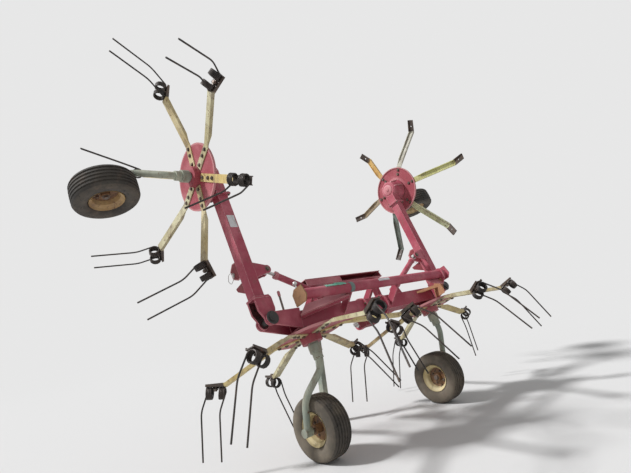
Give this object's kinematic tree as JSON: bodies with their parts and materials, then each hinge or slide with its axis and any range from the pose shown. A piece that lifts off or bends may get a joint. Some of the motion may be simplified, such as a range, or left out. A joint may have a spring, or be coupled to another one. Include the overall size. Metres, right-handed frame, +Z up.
{
  "type": "hay tedder",
  "caption": "Mounted rotary hay tedder with two folding wing rotors, spring tines, small support wheels and a three point hitch, parked folded on its stand.",
  "frame": {"origin": "centre of the bounding box on the floor", "axes": "+X to the machine's right seen from behind, +Y forward toward the tractor, +Z up"},
  "size_m": [3.418, 2.0447, 2.5927],
  "materials": {
    "red_paint": "faded, chalky",
    "arm_paint": "worn cream paint",
    "leg_paint": "worn grey green paint",
    "rim_paint": "cream paint with rust",
    "tine_steel": "dark spring steel, rusted",
    "bright_steel": "worn bright",
    "rusty_steel": "brown rust",
    "tyre": "dusty rubber"
  },
  "bodies": {
    "frame": {"main_beam": "red_paint", "gearboxes": "red_paint", "hinge_brackets": "red_paint", "hinge_pins": "bright_steel", "upper_tube": "red_paint", "tube_ends": "rusty_steel", "tube_posts": "red_paint", "crossbar": "red_paint", "headstock": "red_paint", "lower_pins": "bright_steel", "wheel_legs": "leg_paint"},
    "stand": {"stand": "red_paint"},
    "pto_shaft": {"pto_shaft": "bright_steel"},
    "wing_left": {"wing_tube_left": "red_paint", "wing_fork_left": "red_paint", "wing_gearbox_left": "red_paint", "wing_leg_left": "leg_paint"},
    "barrel_left": {"barrel_left": "red_paint"},
    "rod_left": {"rod_left": "bright_steel"},
    "wing_right": {"wing_tube_right": "red_paint", "wing_fork_right": "red_paint", "wing_gearbox_right": "red_paint", "wing_leg_right": "leg_paint"},
    "barrel_right": {"barrel_right": "red_paint"},
    "rod_right": {"rod_right": "bright_steel"},
    "rotor_inner_left": {"disc_inner_left": "red_paint", "arms_inner_left": "arm_paint", "tines_inner_left": "tine_steel"},
    "wheel_inner_left": {"tyre_inner_left": "tyre", "rim_inner_left": "rim_paint"},
    "rotor_inner_right": {"disc_inner_right": "red_paint", "arms_inner_right": "arm_paint", "tines_inner_right": "tine_steel"},
    "wheel_inner_right": {"tyre_inner_right": "tyre", "rim_inner_right": "rim_paint"},
    "rotor_wing_left": {"disc_wing_left": "red_paint", "arms_wing_left": "arm_paint", "tines_wing_left": "tine_steel"},
    "wheel_wing_left": {"tyre_wing_left": "tyre", "rim_wing_left": "rim_paint"},
    "rotor_wing_right": {"disc_wing_right": "red_paint", "arms_wing_right": "arm_paint"},
    "wheel_wing_right": {"tyre_wing_right": "tyre", "rim_wing_right": "rim_paint"}
  },
  "joints": [
    {"name": "stand_slide", "type": "slide", "parent": "frame", "child": "stand", "axis": [0, 0, 1], "range_m": [0, 0.25]},
    {"name": "rotor_inner_left_spin", "type": "hinge", "parent": "frame", "child": "rotor_inner_left", "pos_m": [-0.632, -0.124, 0.72201], "axis": [0, 0.3584, 0.9336], "continuous": true},
    {"name": "rotor_inner_right_spin", "type": "hinge", "parent": "frame", "child": "rotor_inner_right", "pos_m": [0.632, -0.124, 0.72201], "axis": [0, 0.3584, 0.9336], "continuous": true},
    {"name": "pto_shaft_spin", "type": "hinge", "parent": "frame", "child": "pto_shaft", "pos_m": [0, -0.01452, 0.72819], "axis": [0, 0.9336, -0.3584], "continuous": true},
    {"name": "fold_left", "type": "hinge", "parent": "frame", "child": "wing_left", "pos_m": [-0.9, -0.0792, 0.83871], "axis": [0, -0.9336, 0.3584], "range_deg": [0, 90]},
    {"name": "barrel_left_swing", "type": "hinge", "parent": "frame", "child": "barrel_left", "pos_m": [-0.33, -0.05591, 0.89939], "axis": [0, -0.9336, 0.3584], "range_deg": [0, 25.52]},
    {"name": "rod_left_slide", "type": "slide", "parent": "barrel_left", "child": "rod_left", "axis": [-0.8751, 0.1734, 0.4519], "range_m": [0, 0.37005]},
    {"name": "rotor_wing_left_spin", "type": "hinge", "parent": "wing_left", "child": "rotor_wing_left", "pos_m": [-1.025, 0.27737, 1.76762], "axis": [1, 0, 0], "continuous": true},
    {"name": "wheel_wing_left_spin", "type": "hinge", "parent": "wing_left", "child": "wheel_wing_left", "pos_m": [-1.521, 0.46222, 1.69667], "axis": [0, -0.3584, -0.9336], "continuous": true},
    {"name": "wheel_inner_left_spin", "type": "hinge", "parent": "frame", "child": "wheel_inner_left", "pos_m": [-0.632, -0.1169, 0.188], "axis": [1, 0, 0], "continuous": true},
    {"name": "fold_right", "type": "hinge", "parent": "frame", "child": "wing_right", "pos_m": [0.9, -0.0792, 0.83871], "axis": [0, 0.9336, -0.3584], "range_deg": [0, 90]},
    {"name": "barrel_right_swing", "type": "hinge", "parent": "frame", "child": "barrel_right", "pos_m": [0.33, -0.05591, 0.89939], "axis": [0, 0.9336, -0.3584], "range_deg": [0, 25.52]},
    {"name": "rod_right_slide", "type": "slide", "parent": "barrel_right", "child": "rod_right", "axis": [0.8751, 0.1734, 0.4519], "range_m": [0, 0.37005]},
    {"name": "rotor_wing_right_spin", "type": "hinge", "parent": "wing_right", "child": "rotor_wing_right", "pos_m": [1.025, 0.27737, 1.76762], "axis": [-1, 0, 0], "continuous": true},
    {"name": "wheel_wing_right_spin", "type": "hinge", "parent": "wing_right", "child": "wheel_wing_right", "pos_m": [1.521, 0.46222, 1.69667], "axis": [0, -0.3584, -0.9336], "continuous": true},
    {"name": "wheel_inner_right_spin", "type": "hinge", "parent": "frame", "child": "wheel_inner_right", "pos_m": [0.632, -0.1169, 0.188], "axis": [1, 0, 0], "continuous": true}
  ],
  "couplings": [
    {"joint": "rotor_inner_right_spin", "follows": "rotor_inner_left_spin", "ratio": -1},
    {"joint": "rotor_wing_left_spin", "follows": "rotor_inner_left_spin", "ratio": -1},
    {"joint": "rotor_wing_right_spin", "follows": "rotor_inner_left_spin", "ratio": 1},
    {"joint": "pto_shaft_spin", "follows": "rotor_inner_left_spin", "ratio": 3},
    {"joint": "barrel_left_swing", "follows": "fold_left", "ratio": 0.28355},
    {"joint": "rod_left_slide", "follows": "fold_left", "m_per_rad": 0.23558},
    {"joint": "barrel_right_swing", "follows": "fold_right", "ratio": 0.28355},
    {"joint": "rod_right_slide", "follows": "fold_right", "m_per_rad": 0.23558}
  ]
}
